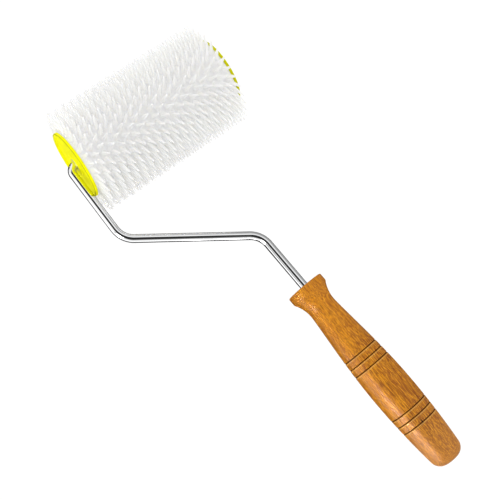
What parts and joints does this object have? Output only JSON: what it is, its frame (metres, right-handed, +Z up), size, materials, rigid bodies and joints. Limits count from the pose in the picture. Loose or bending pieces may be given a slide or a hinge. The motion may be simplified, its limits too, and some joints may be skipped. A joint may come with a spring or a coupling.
{
  "type": "spiked roller",
  "caption": "Spiked roller that bursts the air out of wet self-levelling floor coatings: a spiked barrel turns on a bent wire frame with a turned wooden handle.",
  "frame": {"origin": "on the floor, under the middle of the bounding box, with the roller and the handle's butt resting on the floor", "axes": "+Z up, +X along the roller's axle away from the side arm, the handle points to -Y"},
  "size_m": [0.114, 0.2891, 0.065],
  "materials": {
    "chromed_wire": "polished",
    "varnished_wood": "satin varnish",
    "zinc_steel": "zinc plated",
    "tube_plastic": "as extruded",
    "yellow_plastic": "glossy",
    "bush_plastic": "as moulded",
    "spike_plastic": "slightly translucent, as moulded"
  },
  "bodies": {
    "frame": {"frame_rod": "chromed_wire", "handle": "varnished_wood", "axle_washer": "zinc_steel", "axle_retainer": "zinc_steel"},
    "roller": {"core_tube": "tube_plastic", "near_end_cap": "yellow_plastic", "far_end_cap": "yellow_plastic", "near_bush": "bush_plastic", "far_bush": "bush_plastic", "spiked_ring_01": "spike_plastic", "spiked_ring_02": "spike_plastic", "spiked_ring_03": "spike_plastic", "spiked_ring_04": "spike_plastic", "spiked_ring_05": "spike_plastic", "spiked_ring_06": "spike_plastic", "spiked_ring_07": "spike_plastic", "spiked_ring_08": "spike_plastic", "spiked_ring_09": "spike_plastic", "spiked_ring_10": "spike_plastic", "spiked_ring_11": "spike_plastic", "spiked_ring_12": "spike_plastic", "spiked_ring_13": "spike_plastic", "spiked_ring_14": "spike_plastic", "spiked_ring_15": "spike_plastic", "spiked_ring_16": "spike_plastic", "spiked_ring_17": "spike_plastic", "spiked_ring_18": "spike_plastic", "spiked_ring_19": "spike_plastic", "spiked_ring_20": "spike_plastic"}
  },
  "joints": [
    {"name": "roller_spin", "type": "hinge", "parent": "frame", "child": "roller", "pos_m": [0.00045, 0.11209, 0.03248], "axis": [1, 0, 0], "continuous": true}
  ]
}
